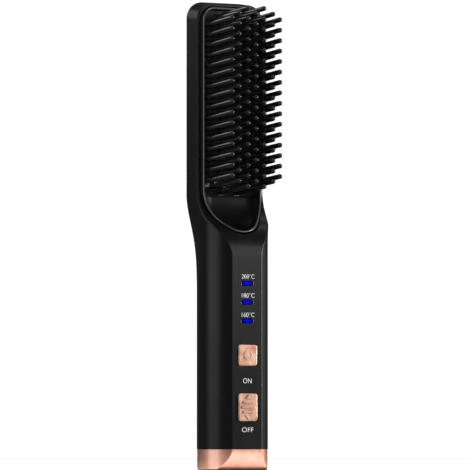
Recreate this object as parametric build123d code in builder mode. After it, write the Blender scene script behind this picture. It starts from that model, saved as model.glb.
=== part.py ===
from build123d import *
import math
import os

os.makedirs("parts", exist_ok=True)

# Frame: +Z up along the handle, -Y the side that the pins point to, origin where the
# handle's axis meets the flat base. Millimetres.

# Housing
total_height = 210.0
handle_radius = 15.9
facet_cut = 1.85
wall = 1.5
neck_low = 78.0
neck_high = 123.5
widen_low = 100.0
head_half_width = 16.6
head_back = 14.5
head_front = 2.0
head_corner = 7.5
head_back_round = 2.5
top_drop = 1.8
ramp_low = 95.0
ramp_high = 126.0
seam_y = 2.0
seam_top = 118.0
seam_gap = 0.1
front_round = 0.6
edge_round = 0.4

# End cap
cap_height = 9.4
cap_step = 0.2
cap_wall = 1.4
cap_floor = 1.6
cap_sag = 5.35
cap_edge_round = 0.8
cap_seam = 0.15

# Comb tray
rim_half_width = 14.8
rim_drop = 3.2
rim_corner = 5.8
rim_width = 1.0
rim_round = 0.3
bowl_centre = 125.0
bowl_depth = 19.4
groove = 0.7
scoop_top = 122.0
scoop_skin = 1.6
window_corner = 4.5
snap_length = 6.0
snap_height = 1.0
snap_reach = 0.25
snap_gap = 0.15
snap_count = 3
snap_share = 0.36

# Heating plate
plate_front = 3.5
plate_thick = 2.3
flange_thick = 1.0
flange_margin = 1.3
plate_gap = 0.25
plate_nose_length = 3.0
plate_nose_depth = 1.2

# Comb pins
pin_reach = 27.1
pin_tip_diameter = 2.28
pin_base_diameter = 2.36
pin_tilt = 3.5
row_rise = 6.85
row_drop = 2.42
full_rows = 16
column_inset = 1.8
half_column_inset = 5.3
strip_width = 2.4
strip_depth = 1.4
strip_end = 1.4
strip_gap = 0.05

# Heater stack behind the plate
heater_width = 12.0
heater_thick = 2.0
heater_space = 3.0
heater_ends = 4.5
heater_drop = 1.9
stack_gap = 0.1
clamp_sheet = 0.8
clamp_width = 16.0
clamp_foot = 3.8
clamp_ends = 17.3
clamp_screw_inset = 1.8
clamp_screw_diameter = 2.0
clamp_screw_depth = 1.5
clamp_head_diameter = 3.4
clamp_head_height = 1.2
mica_width = 22.0
mica_thick = 0.3
mica_lap = 1.0
sensor_width = 3.0
sensor_height = 1.6
sensor_gap = 1.5
fuse_diameter = 3.0
fuse_length = 9.0
rib_thick = 1.2
rib_width = 18.0
rib_count = 3

# Controls
knob_width = 9.5
knob_height = 12.3
knob_thick = 0.8
knob_lift = 0.2
knob_centre = 28.0
knob_travel = 2.0
knob_corner = 1.2
stem_width = 4.0
stem_height = 5.0
stem_foot = 1.2
foot_thick = 0.7
ridge_proud = 0.5
ridge_round = 0.25
ridge_height = 1.2
ridge_pitch = 2.15
ridge_length = 5.4
ridge_middle_length = 6.8
arrow_width = 3.2
arrow_height = 2.1
arrow_place = 4.6
button_size = 9.4
button_corner = 1.0
button_centre = 51.05
button_proud = 0.8
button_ring = 2.1
ring_stroke = 0.5
emboss = 0.2
running_gap = 0.2
rear_gap = 0.25
light_width = 6.1
light_height = 2.7
light_corner = 1.15
light_low = 66.3
light_pitch = 8.35
light_count = 3
light_gap = 0.1
light_web = 4.0

# Boards and switches
board_drop = 2.2
board_thick = 1.2
board_width = 17.0
board_rise = 9.4
board_over_cell = 1.45
tact_size = 4.5
tact_height = 1.3
plunger_length = 0.95
pip_length = 0.3
plunger_diameter = 2.2
plunger_well = 0.9
slide_body_width = 8.6
slide_body_length = 8.4
slide_body_height = 1.4
lever_width = 1.4
lever_length = 2.0
lever_root = 0.7
lever_grip = 1.6
led_width = 3.0
led_height = 1.4
led_thick = 0.8
board_screw_x = 6.3
board_screw_pitch = 21.0
board_screw_diameter = 1.6
board_head_diameter = 3.0
board_head_height = 1.0

# Battery and chassis
cell_length = 65.1
cell_rise = 10.55
cell_clearance = 0.4
cell_gap = 0.3
cell_button_height = 0.9
tab_width = 5.0
tab_thick = 0.3
tab_gap = 0.1
chassis_rise = 8.2
standoff = 1.0
spine_thick = 1.2
spine_width = 22.0
ring_thick = 1.9
ring_gap = 0.3
chassis_screw_x = 7.0
chassis_screw_rise = 5.95
chassis_screw_diameter = 2.2
chassis_head_diameter = 4.2
chassis_head_height = 1.4
boss_diameter = 5.0
boss_bore_depth = 13.0
pad_width = 6.0
pad_thick = 1.03
pad_gap = 0.15
pad_length = 20.0

# Charging end
socket_width = 8.94
socket_height = 3.2
socket_length = 7.3
socket_skin = 0.3
socket_floor = 0.6
socket_y = 4.2
socket_low = 0.6
socket_hole_gap = 0.35
tongue_width = 6.7
tongue_thick = 0.7
tongue_length = 4.5
charge_board_width = 16.0
charge_board_thick = 1.2
charge_board_low = 2.6
charge_board_rise = 7.0
core_low = 2.0
core_drop = 0.02
core_plate = 2.6
core_gap = 0.3
core_wall = 1.0
core_front_inset = 5.05
core_back_inset = 4.3
core_screw_diameter = 2.2
core_head_diameter = 4.0
core_head_height = 1.4
core_screw_bite = 6.0
end_boss_width = 4.8
end_boss_gap = 0.4

# Leads
lead_diameter = 1.5
lead_spread = 3.0
charge_lead_diameter = 1.2
charge_lead_spread = 5.0
lead_drop = 19.5
lead_rise = 12.5
charge_lead_inset = 2.4

# Worked out from the sizes above
facet_y = facet_cut - handle_radius
inner_facet_y = facet_y + wall
inner_radius = handle_radius - wall
groove_half_width = rim_half_width + groove
rim_top = total_height - rim_drop
window_half_width = rim_half_width - rim_width
window_top = rim_top - rim_width
flange_front = plate_front + plate_thick
tray_back = flange_front - strip_gap
plate_back = flange_front + flange_thick
plate_low = scoop_top + plate_gap
plate_high = window_top - plate_gap
plate_middle = (plate_low + plate_high) / 2
plate_length = plate_high - plate_low
snap_pitch = snap_share * plate_length
row_bottom = scoop_top + row_rise
row_pitch = (window_top - row_drop - row_bottom) / (2 * full_rows)
full_column = window_half_width - column_inset
half_column = window_half_width - half_column_inset
full_row_heights = [row_bottom + 2 * row_pitch * i for i in range(full_rows)]
half_row_heights = [row_bottom + row_pitch * (2 * i - 1) for i in range(full_rows + 1)]
end_row_heights = [
    row_bottom - 2 * row_pitch,
    row_bottom + 2 * row_pitch * full_rows,
]
foot_front_y = inner_facet_y + rear_gap
foot_back_y = foot_front_y + foot_thick
board_y = foot_back_y + board_drop
board_back_y = board_y + board_thick
spine_y = board_back_y + standoff
spine_back_y = spine_y + spine_thick
pad_back_y = math.sqrt(inner_radius**2 - (pad_width / 2) ** 2) - pad_gap
pad_front_y = pad_back_y - pad_thick
cell_front_y = spine_back_y + cell_clearance
cell_back_y = pad_front_y - tab_gap
cell_radius = (cell_back_y - cell_front_y) / 2
cell_y = cell_front_y + cell_radius
cell_low = cap_height + cell_rise
cell_high = cell_low + cell_length
chassis_low = cap_height + chassis_rise
chassis_screw_z = cell_high + chassis_screw_rise
board_low = cap_height + board_rise
board_high = cell_high + board_over_cell
charge_board_high = cap_height + charge_board_rise
lever_tip_y = foot_back_y - lever_grip
knob_back_y = facet_y - knob_lift
knob_front_y = knob_back_y - knob_thick
slide_front_y = board_y - slide_body_height
tact_front_y = board_y - tact_height
plunger_tip_y = foot_back_y + pip_length + strip_gap
light_heights = [light_low + light_pitch * i for i in range(light_count)]
scoop_radius = scoop_top - (bowl_centre - bowl_depth + rim_width)
scoop_axis_y = plate_front - scoop_radius
tab_low = cell_low - tab_gap - tab_thick
tab_high = cell_high + tab_gap
clamp_length = plate_length - clamp_ends
heater_middle = plate_middle - heater_drop
heater_length = (clamp_length - 2 * heater_ends - heater_space) / 2
heater_pitch = heater_length + heater_space
mica_length = clamp_length + mica_lap
rib_pitch = clamp_length / rib_count
heater_y = plate_back + stack_gap
clamp_y = heater_y + heater_thick + stack_gap
mica_y = clamp_y + clamp_sheet + stack_gap
charge_board_y = socket_y + socket_height / 2 + strip_gap
charge_board_back = charge_board_y + charge_board_thick
core_high = cap_height - core_drop
core_block_width = charge_board_width + 2 * (tab_gap + core_wall)
core_screw_front = facet_y + core_front_inset
core_screw_back = handle_radius - core_back_inset
end_boss_high = chassis_low - end_boss_gap


def facing(y):
    """The upright plane at depth y, drawn in X and Z, whose normal points to the front."""
    return Plane.XZ.offset(-y)


def s_curve(y_low, y_high, z_low, z_high):
    """The front's profile: up the panel, over two equal arcs that meet, and up the head."""
    turn = 2 * math.atan((y_high - y_low) / (z_high - z_low))
    radius = (z_high - z_low) / (2 * math.sin(turn))
    side = radius * (1 - math.cos(turn / 2))
    rise = radius * math.sin(turn / 2)
    middle = ((y_low + y_high) / 2, (z_low + z_high) / 2)
    low_arc = ThreePointArc((y_low, z_low), (y_low + side, z_low + rise), middle)
    high_arc = ThreePointArc(middle, (y_high - side, z_high - rise), (y_high, z_high))
    return low_arc, high_arc


def keep_behind(y_low, y_high, z_low, z_high):
    """Cut the part that is being built back to what lies behind an s_curve front."""
    far = 2 * head_half_width
    with BuildSketch(Plane.YZ) as profile:
        with BuildLine():
            Line((y_low, -1), (y_low, z_low))
            s_curve(y_low, y_high, z_low, z_high)
            Polyline(
                (y_high, z_high),
                (y_high, total_height + far),
                (far, total_height + far),
                (far, -1),
                (y_low, -1),
            )
        make_face()
    extrude(to_extrude=profile.sketch, amount=far, both=True, mode=Mode.INTERSECT)


def smooth_share(height, low):
    """How far a height has come from low to the top of the neck, eased at both ends."""
    share = min(max((height - low) / (neck_high - low), 0), 1)
    return share * share * (3 - 2 * share)


def housing_outline(height, inset=0.0):
    """The housing's level section: a circle in the handle that turns into the head's box.

    Its back is five arcs that meet smoothly. In the handle they share one radius, and in
    the head the two sides and the back are flat.
    """
    share = smooth_share(height, neck_low)
    widening = smooth_share(height, widen_low)
    side = handle_radius + (head_half_width - handle_radius) * widening - inset
    back = handle_radius + (head_back - handle_radius) * share - inset
    corner = handle_radius + (head_back_round - handle_radius) * share - inset
    turn = math.radians(30 * (1 - share))
    sine, cosine = math.sin(turn), math.cos(turn)
    if share < 1:
        # Two closures, across and back, give the radii of the side arcs and the back arc.
        across = side - corner * cosine + corner * sine
        depth = back + corner * sine - corner * cosine
        scale = (1 - cosine) ** 2 - sine**2
        side_radius = (across * (1 - cosine) - depth * sine) / scale
        back_radius = (depth * (1 - cosine) - across * sine) / scale
        corner_x = side - side_radius + (side_radius - corner) * cosine
        corner_y = (side_radius - corner) * sine
    else:
        corner_x, corner_y = side - corner, back - corner

    def on_corner(angle):
        return (
            corner_x + corner * math.cos(angle),
            corner_y + corner * math.sin(angle),
        )

    first, last = on_corner(turn), on_corner(math.pi / 2 - turn)
    middle = on_corner(math.pi / 4)

    def flip(point):
        return (-point[0], point[1])

    front = ThreePointArc((-side, 0), (0, -side), (side, 0))
    if share < 1:
        side_middle = (
            side - side_radius * (1 - math.cos(turn / 2)),
            side_radius * math.sin(turn / 2),
        )
        right = ThreePointArc((side, 0), side_middle, first)
        across_back = ThreePointArc(last, (0, back), flip(last))
        left = ThreePointArc(flip(first), flip(side_middle), (-side, 0))
    else:
        right = Line((side, 0), first)
        across_back = Line(last, flip(last))
        left = Line(flip(first), (-side, 0))
    right_corner = ThreePointArc(first, middle, last)
    left_corner = ThreePointArc(flip(last), flip(middle), flip(first))
    loop = Wire([front, right, right_corner, across_back, left_corner, left])
    return Plane.XY.offset(height) * Face(loop)


def head_face(y, inset, top):
    """The head's upright outline at depth y, with its two rounded top corners."""
    side = head_half_width - inset
    corner = head_corner - inset
    with BuildSketch(facing(y)) as outline:
        with BuildLine():
            Line((-side, neck_high), (-side, top - corner))
            RadiusArc((-side, top - corner), (-side + corner, top), corner)
            Line((-side + corner, top), (side - corner, top))
            RadiusArc((side - corner, top), (side, top - corner), corner)
            Line((side, top - corner), (side, neck_high))
            Line((side, neck_high), (-side, neck_high))
        make_face()
    return outline.sketch.face()


def housing_solid(inset=0.0, low=cap_height):
    """The housing's full form before its front is cut: handle, neck and head in one."""
    slope = top_drop / (head_back - head_front)
    back_round = head_back_round - inset
    # The head's back edge stands higher than the rounded top by this much
    crown = slope * back_round + back_round * (math.hypot(1, slope) - 1)
    back_top = total_height - inset + crown
    front_top = back_top - slope * (head_back + head_half_width)
    with BuildPart() as head:
        loft(
            sections=[
                head_face(-head_half_width, inset, front_top),
                head_face(head_back - inset, inset, back_top),
            ],
            ruled=True,
        )
        rim = head.faces().sort_by(Axis.Y)[-1].edges()
        fillet(rim.sort_by(Axis.Z)[1:], back_round)
    # Sections of the neck, closest together at its ends, where it meets straight walls
    heights = [
        neck_low + (neck_high - neck_low) * (1 - math.cos(math.pi * i / 10)) / 2
        for i in range(11)
    ]
    with BuildPart() as form:
        with BuildSketch(Plane.XY.offset(low)):
            Circle(handle_radius - inset)
        extrude(amount=neck_low - low)
        loft(sections=[housing_outline(height, inset) for height in heights])
        add(head.part)
    return form.part


def bowl_outline(inset, top, corner):
    """A tray outline: straight sides, rounded top corners and a half ellipse below."""
    side = rim_half_width - inset
    with BuildLine() as outline:
        EllipticalCenterArc(
            (0, bowl_centre), side, bowl_depth - inset, start_angle=180, arc_size=180
        )
        Line((side, bowl_centre), (side, top - corner))
        RadiusArc((side, top - corner), (side - corner, top), -corner)
        Line((side - corner, top), (-side + corner, top))
        RadiusArc((-side + corner, top), (-side, top - corner), -corner)
        Line((-side, top - corner), (-side, bowl_centre))
    return outline.line


def tray_form(inset, top, corner, y_front, y_back, low=0.0, mode=Mode.ADD):
    """A tray outline carried from y_front to y_back, without what lies below low."""
    with BuildSketch(facing(y_back)) as outline:
        add(bowl_outline(inset, top, corner))
        make_face()
        with Locations((0, low + total_height / 2)):
            Rectangle(2 * head_half_width, total_height, mode=Mode.INTERSECT)
    extrude(to_extrude=outline.sketch, amount=y_back - y_front, mode=mode)


def block(x_low, x_high, y_low, y_high, z_low, z_high, mode=Mode.ADD):
    """A plain box between two corners, in the part that is being built."""
    with Locations(((x_low + x_high) / 2, (y_low + y_high) / 2, (z_low + z_high) / 2)):
        Box(x_high - x_low, y_high - y_low, z_high - z_low, mode=mode)


def rod(x, z, radius, y_front, y_back, mode=Mode.ADD):
    """A round bar along the depth, such as a screw's shank or its hole."""
    with Locations((x, (y_front + y_back) / 2, z)):
        Cylinder(radius, y_back - y_front, rotation=(90, 0, 0), mode=mode)


def post(x, y, radius, z_low, z_high, mode=Mode.ADD):
    """A round bar that stands upright, or its hole."""
    with Locations((x, y, (z_low + z_high) / 2)):
        Cylinder(radius, z_high - z_low, mode=mode)


# Housing: one form with its front cut and rounded, hollowed, then parted into two shells
outer_form = housing_solid()
inner_form = housing_solid(wall, 0.0)
with BuildPart() as cavity:
    add(inner_form)
    keep_behind(inner_facet_y, head_front + wall, ramp_low - wall, ramp_high - wall)

with BuildPart() as housing:
    add(outer_form)
    keep_behind(facet_y, head_front, ramp_low, ramp_high)
    front_faces = housing.faces().filter_by(
        lambda face: face.normal_at().Y < -0.8 and abs(face.normal_at().X) < 0.01
    )
    front_edges = front_faces.edges()
    head_top_edge = front_edges.sort_by(Axis.Z)[-1]
    fillet(front_edges.filter_by(Axis.X, reverse=True) + [head_top_edge], front_round)
    add(cavity.part, mode=Mode.SUBTRACT)
    tray_form(
        -groove,
        rim_top + groove,
        rim_corner + groove,
        -handle_radius,
        plate_back + plate_gap,
        mode=Mode.SUBTRACT,
    )

core_bore = core_screw_diameter / 2 + strip_gap
core_bore_high = cap_height + core_screw_bite + strip_gap
with BuildPart() as front_shell:
    add(housing.part)
    split(bisect_by=facing(seam_y - seam_gap), keep=Keep.TOP)
    split(bisect_by=Plane.XY.offset(seam_top - seam_gap), keep=Keep.BOTTOM)
    # Block at the foot that the front core screw bites into
    block(
        -end_boss_width / 2,
        end_boss_width / 2,
        inner_facet_y - wall / 2,
        core_screw_front + end_boss_width / 2,
        cap_height,
        end_boss_high,
    )
    post(0, core_screw_front, core_bore, cap_height, core_bore_high, mode=Mode.SUBTRACT)
    # Openings of the panel: slot of the slide knob, button hole and three windows
    slot_low = knob_centre - stem_height / 2 - knob_travel - running_gap
    slot_high = knob_centre + stem_height / 2 + running_gap
    button_hole = button_size + 2 * running_gap
    with BuildSketch(facing(inner_facet_y)) as panel_openings:
        with Locations((0, (slot_low + slot_high) / 2)):
            Rectangle(stem_width + 2 * running_gap, slot_high - slot_low)
        with Locations((0, button_centre)):
            RectangleRounded(button_hole, button_hole, button_corner + running_gap)
        with Locations(*[(0, height) for height in light_heights]):
            RectangleRounded(
                light_width + 2 * light_gap, light_height + 2 * light_gap, light_corner + light_gap
            )
    extrude(amount=2 * wall, both=True, mode=Mode.SUBTRACT)
front_shell.part.label = "front_shell"
export_step(front_shell.part, "parts/front_shell.step")

snap_heights = [
    plate_middle + snap_pitch * (i - (snap_count - 1) / 2) for i in range(snap_count)
]
boss_front_y = spine_back_y + strip_gap
boss_bore = chassis_screw_diameter / 2 + strip_gap
boss_bore_end = boss_front_y + boss_bore_depth
with BuildPart() as chassis_bosses:
    for side in (-1, 1):
        x = side * chassis_screw_x
        rod(x, chassis_screw_z, boss_diameter / 2, boss_front_y, handle_radius)
    add(outer_form, mode=Mode.INTERSECT)
    for side in (-1, 1):
        x = side * chassis_screw_x
        rod(x, chassis_screw_z, boss_bore, spine_y, boss_bore_end, mode=Mode.SUBTRACT)

with BuildPart() as rear_shell:
    add(housing.part)
    block(
        -head_half_width - 1,
        head_half_width + 1,
        -handle_radius - 1,
        seam_y,
        0,
        seam_top,
        mode=Mode.SUBTRACT,
    )
    # Recesses for the tray's snaps
    for side in (-1, 1):
        near, far = groove_half_width - snap_reach, groove_half_width + snap_reach + snap_gap
        for height in snap_heights:
            block(
                min(side * near, side * far),
                max(side * near, side * far),
                plate_front - running_gap,
                plate_front + snap_height + running_gap,
                height - snap_length / 2 - running_gap,
                height + snap_length / 2 + running_gap,
                mode=Mode.SUBTRACT,
            )
    # Ribs that press on the mica sheet
    for i in range(rib_count):
        height = heater_middle + rib_pitch * (i - (rib_count - 1) / 2)
        block(
            -rib_width / 2,
            rib_width / 2,
            mica_y + mica_thick + running_gap,
            head_back - wall / 2,
            height - rib_thick / 2,
            height + rib_thick / 2,
        )
    # Block at the foot that the rear core screw bites into
    block(
        -end_boss_width / 2,
        end_boss_width / 2,
        core_screw_back - end_boss_width / 2,
        inner_radius + wall / 4,
        cap_height,
        end_boss_high,
    )
    post(0, core_screw_back, core_bore, cap_height, core_bore_high, mode=Mode.SUBTRACT)
    add(chassis_bosses.part)
rear_shell.part.label = "rear_shell"
export_step(rear_shell.part, "parts/rear_shell.step")

# End cap: the handle's round form, its panel curving back to the flat base
cap_radius = handle_radius - cap_step
cap_panel_y = facet_y + cap_step
cap_arc_radius = (cap_sag**2 + cap_height**2) / (2 * cap_sag)
cap_arc_y = cap_panel_y + cap_arc_radius


def cap_form(inset, low, mode=Mode.ADD):
    """The cap's outer form, or with an inset the hollow inside its walls."""
    radius = cap_arc_radius - inset
    foot_y = cap_arc_y - math.sqrt(radius**2 - (cap_height - low) ** 2)
    turn = math.asin((cap_height - low) / radius) / 2
    middle = (cap_arc_y - radius * math.cos(turn), cap_height - radius * math.sin(turn))
    with BuildPart() as form:
        with BuildSketch(Plane.YZ):
            with BuildLine():
                ThreePointArc((foot_y, low), middle, (cap_panel_y + inset, cap_height))
                Polyline(
                    (cap_panel_y + inset, cap_height),
                    (handle_radius, cap_height),
                    (handle_radius, low),
                    (foot_y, low),
                )
            make_face()
        extrude(amount=handle_radius, both=True)
        with BuildSketch(Plane.XY):
            Circle(cap_radius - inset)
        extrude(amount=cap_height, mode=Mode.INTERSECT)
    add(form.part, mode=mode)


with BuildPart() as end_cap:
    cap_form(0, 0)
    fillet(end_cap.faces().sort_by(Axis.Z)[0].edges(), cap_edge_round)
    cap_form(cap_wall, cap_floor, mode=Mode.SUBTRACT)
    split(bisect_by=Plane.XY.offset(cap_height - cap_seam), keep=Keep.BOTTOM)
    with BuildSketch(Plane.XY):
        with Locations((0, socket_y)):
            SlotOverall(
                socket_width + 2 * socket_hole_gap, socket_height + 2 * socket_hole_gap
            )
    extrude(amount=2 * cap_floor, mode=Mode.SUBTRACT)
end_cap.part.label = "end_cap"
export_step(end_cap.part, "parts/end_cap.step")

# Comb tray: rim, side walls and the scoop that runs out on to the handle
with BuildPart() as scoop:
    with BuildSketch(Plane.XY.offset(scoop_top)):
        with BuildLine():
            side, corner = window_half_width, rim_corner
            Polyline(
                (-side, plate_front - corner),
                (-side, scoop_axis_y),
                (side, scoop_axis_y),
                (side, plate_front - corner),
            )
            RadiusArc((side, plate_front - corner), (side - corner, plate_front), -corner)
            Line((side - corner, plate_front), (-side + corner, plate_front))
            RadiusArc((-side + corner, plate_front), (-side, plate_front - corner), -corner)
        make_face()
    revolve(axis=Axis((0, scoop_axis_y, scoop_top), (1, 0, 0)), revolution_arc=-90)
    tray_form(
        rim_width, window_top, window_corner, -handle_radius, tray_back, mode=Mode.INTERSECT
    )

# Below the comb only a skin is left behind the scoop
with BuildPart() as tray_space:
    with BuildSketch(Plane.YZ):
        with Locations((scoop_axis_y, scoop_top)):
            Circle(scoop_radius + scoop_skin)
    extrude(amount=head_half_width, both=True)
    split(bisect_by=Plane.XY.offset(scoop_top), keep=Keep.BOTTOM)
    block(
        -head_half_width,
        head_half_width,
        -handle_radius,
        tray_back,
        scoop_top,
        total_height,
    )

with BuildPart() as comb_tray:
    tray_form(0, rim_top, rim_corner, -handle_radius, tray_back)
    keep_behind(facet_y, 0, ramp_low, bowl_centre)
    rim_faces = comb_tray.faces().filter_by(
        lambda face: face.normal_at().Y < -0.3 and abs(face.normal_at().X) < 0.01
    )
    rim_edges = rim_faces.edges()
    rim_top_edge = rim_edges.sort_by(Axis.Z)[-1]
    fillet(rim_edges.filter_by(Axis.X, reverse=True) + [rim_top_edge], rim_round)
    add(tray_space.part, mode=Mode.INTERSECT)
    tray_form(
        rim_width,
        window_top,
        window_corner,
        -handle_radius,
        tray_back,
        scoop_top,
        mode=Mode.SUBTRACT,
    )
    add(scoop.part, mode=Mode.SUBTRACT)
    for side in (-1, 1):
        near, far = rim_half_width - rim_width / 2, groove_half_width + snap_reach
        for height in snap_heights:
            block(
                min(side * near, side * far),
                max(side * near, side * far),
                plate_front,
                plate_front + snap_height,
                height - snap_length / 2,
                height + snap_length / 2,
            )
comb_tray.part.label = "comb_tray"
export_step(comb_tray.part, "parts/comb_tray.step")

# Comb pins: seven strips let into the heating plate, one for each column
pin_root = strip_depth / 2
pin_length = (pin_reach + pin_root) / math.cos(math.radians(pin_tilt))
pin_slope = math.tan(math.radians(pin_tilt))
pin_aim = (0, -math.cos(math.radians(pin_tilt)), math.sin(math.radians(pin_tilt)))
tip_radius = pin_tip_diameter / 2
with BuildPart() as pin:
    with BuildSketch(Plane.XZ):
        with BuildLine():
            Polyline(
                (0, pin_length),
                (0, 0),
                (pin_base_diameter / 2, 0),
                (tip_radius, pin_length - tip_radius),
            )
            RadiusArc((tip_radius, pin_length - tip_radius), (0, pin_length), -tip_radius)
        make_face()
    revolve(axis=Axis.Z)


def pin_strip(x, heights):
    """One column of pins on its bar."""
    with BuildPart() as strip:
        block(
            x - strip_width / 2,
            x + strip_width / 2,
            plate_front,
            plate_front + strip_depth,
            min(heights) - strip_end,
            max(heights) + strip_end,
        )
        roots = [
            Plane(
                origin=(x, plate_front + pin_root, height - pin_root * pin_slope),
                x_dir=(1, 0, 0),
                z_dir=pin_aim,
            ).location
            for height in heights
        ]
        with Locations(*roots):
            add(pin.part)
    return strip.part


long_row_heights = full_row_heights + end_row_heights
columns = [
    (-full_column, full_row_heights),
    (-half_column, half_row_heights),
    (-full_column / 3, long_row_heights),
    (0.0, half_row_heights),
    (full_column / 3, long_row_heights),
    (half_column, half_row_heights),
    (full_column, full_row_heights),
]
for number, (x, heights) in enumerate(columns, start=1):
    strip_part = pin_strip(x, heights)
    strip_part.label = f"pin_strip_{number}"
    export_step(strip_part, f"parts/pin_strip_{number}.step")

# Heating plate: a block in the tray's window, a flange behind it and a groove per strip
clamp_foot_x = clamp_width / 2 + clamp_foot / 2
clamp_screw_reach = clamp_length / 2 - clamp_screw_inset
clamp_screw_places = [
    (side * clamp_foot_x, heater_middle + end * clamp_screw_reach)
    for side in (-1, 1)
    for end in (-1, 1)
]
clamp_bore = clamp_screw_diameter / 2 + strip_gap
clamp_screw_end = plate_back - clamp_screw_depth
with BuildPart() as heating_plate:
    tray_form(
        rim_width + plate_gap,
        plate_high,
        window_corner - plate_gap,
        plate_front,
        flange_front,
        plate_low,
    )
    with BuildSketch(Plane.YZ):
        with BuildLine():
            Polyline(
                (plate_front, plate_low),
                (plate_front + plate_nose_depth, plate_low),
                (plate_front, plate_low + plate_nose_length),
                close=True,
            )
        make_face()
    extrude(amount=rim_half_width, both=True, mode=Mode.SUBTRACT)
    tray_form(
        rim_width + plate_gap - flange_margin,
        plate_high + flange_margin,
        window_corner - plate_gap + flange_margin,
        flange_front,
        plate_back,
        plate_low,
    )
    for x, heights in columns:
        block(
            x - strip_width / 2 - strip_gap,
            x + strip_width / 2 + strip_gap,
            plate_front - 1,
            plate_front + strip_depth + strip_gap,
            min(heights) - strip_end - strip_gap,
            max(heights) + strip_end + strip_gap,
            mode=Mode.SUBTRACT,
        )
    for x, z in clamp_screw_places:
        rod(
            x,
            z,
            clamp_bore,
            clamp_screw_end - strip_gap,
            plate_back + 1,
            mode=Mode.SUBTRACT,
        )
heating_plate.part.label = "heating_plate"
export_step(heating_plate.part, "parts/heating_plate.step")

# Heater stack
with BuildPart() as ceramic_heaters:
    for end in (-1, 1):
        middle = heater_middle + end * heater_pitch / 2
        block(
            -heater_width / 2,
            heater_width / 2,
            heater_y,
            heater_y + heater_thick,
            middle - heater_length / 2,
            middle + heater_length / 2,
        )
ceramic_heaters.part.label = "ceramic_heaters"
export_step(ceramic_heaters.part, "parts/ceramic_heaters.step")

clamp_back_y = heater_y + clamp_sheet
with BuildPart() as heater_clamp:
    with BuildSketch(Plane.XY.offset(heater_middle - clamp_length / 2)):
        with BuildLine():
            outer = clamp_width / 2
            inner = outer - clamp_sheet
            reach = outer + clamp_foot
            Polyline(
                (-reach, heater_y),
                (-inner, heater_y),
                (-inner, clamp_y),
                (inner, clamp_y),
                (inner, heater_y),
                (reach, heater_y),
                (reach, clamp_back_y),
                (outer, clamp_back_y),
                (outer, clamp_y + clamp_sheet),
                (-outer, clamp_y + clamp_sheet),
                (-outer, clamp_back_y),
                (-reach, clamp_back_y),
                (-reach, heater_y),
            )
        make_face()
    extrude(amount=clamp_length)
    for x, z in clamp_screw_places:
        rod(x, z, clamp_bore, plate_back, clamp_back_y + 1, mode=Mode.SUBTRACT)
heater_clamp.part.label = "heater_clamp"
export_step(heater_clamp.part, "parts/heater_clamp.step")

with BuildPart() as clamp_screws:
    clamp_head_back = clamp_back_y + clamp_head_height
    for x, z in clamp_screw_places:
        rod(x, z, clamp_screw_diameter / 2, clamp_screw_end, clamp_back_y)
        rod(x, z, clamp_head_diameter / 2, clamp_back_y, clamp_head_back)
clamp_screws.part.label = "clamp_screws"
export_step(clamp_screws.part, "parts/clamp_screws.step")

with BuildPart() as mica_sheet:
    block(
        -mica_width / 2,
        mica_width / 2,
        mica_y,
        mica_y + mica_thick,
        heater_middle - mica_length / 2,
        heater_middle + mica_length / 2,
    )
mica_sheet.part.label = "mica_sheet"
export_step(mica_sheet.part, "parts/mica_sheet.step")

with BuildPart() as thermistor:
    sensor_high = heater_middle - clamp_length / 2 - sensor_gap
    block(
        -sensor_width / 2,
        sensor_width / 2,
        heater_y,
        heater_y + sensor_height,
        sensor_high - sensor_width,
        sensor_high,
    )
thermistor.part.label = "thermistor"
export_step(thermistor.part, "parts/thermistor.step")

with BuildPart() as thermal_fuse:
    fuse_z = heater_middle + clamp_length / 2 + sensor_gap + fuse_diameter / 2
    with BuildSketch(Plane.YZ.offset(-fuse_length / 2)):
        with Locations((heater_y + fuse_diameter / 2, fuse_z)):
            Circle(fuse_diameter / 2)
    extrude(amount=fuse_length)
    fillet(thermal_fuse.edges(), fuse_diameter / 6)
thermal_fuse.part.label = "thermal_fuse"
export_step(thermal_fuse.part, "parts/thermal_fuse.step")

# Square button, its key switch and the plunger that it presses
button_face_y = facet_y - button_proud
with BuildPart() as mode_button:
    with BuildSketch(facing(foot_front_y)):
        with Locations((0, button_centre)):
            RectangleRounded(button_size, button_size, button_corner)
    extrude(amount=foot_front_y - button_face_y)
    fillet(mode_button.faces().sort_by(Axis.Y)[0].edges(), edge_round)
    with BuildSketch(facing(foot_back_y)):
        with Locations((0, button_centre)):
            Rectangle(button_size + 2 * foot_thick, button_size + 2 * foot_thick)
    extrude(amount=foot_thick)
    # Raised ring on the face, open at the top
    with BuildSketch(facing(button_face_y)):
        with Locations((0, button_centre)):
            Circle(button_ring)
            Circle(button_ring - ring_stroke, mode=Mode.SUBTRACT)
        with Locations((0, button_centre + button_ring)):
            Rectangle(button_ring, button_ring, mode=Mode.SUBTRACT)
    extrude(amount=emboss)
    rod(0, button_centre, plunger_diameter / 2, foot_back_y, foot_back_y + pip_length)
mode_button.part.label = "mode_button"
export_step(mode_button.part, "parts/mode_button.step")

with BuildPart() as key_plunger:
    plunger_end_y = plunger_tip_y + plunger_length
    rod(0, button_centre, plunger_diameter / 2, plunger_tip_y, plunger_end_y)
key_plunger.part.label = "key_plunger"
export_step(key_plunger.part, "parts/key_plunger.step")

with BuildPart() as key_switch:
    with BuildSketch(facing(board_y)):
        with Locations((0, button_centre)):
            Rectangle(tact_size, tact_size)
    extrude(amount=tact_height)
    rod(
        0,
        button_centre,
        plunger_diameter / 2 + light_gap,
        tact_front_y - 1,
        tact_front_y + plunger_well,
        mode=Mode.SUBTRACT,
    )
key_switch.part.label = "key_switch"
export_step(key_switch.part, "parts/key_switch.step")

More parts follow.
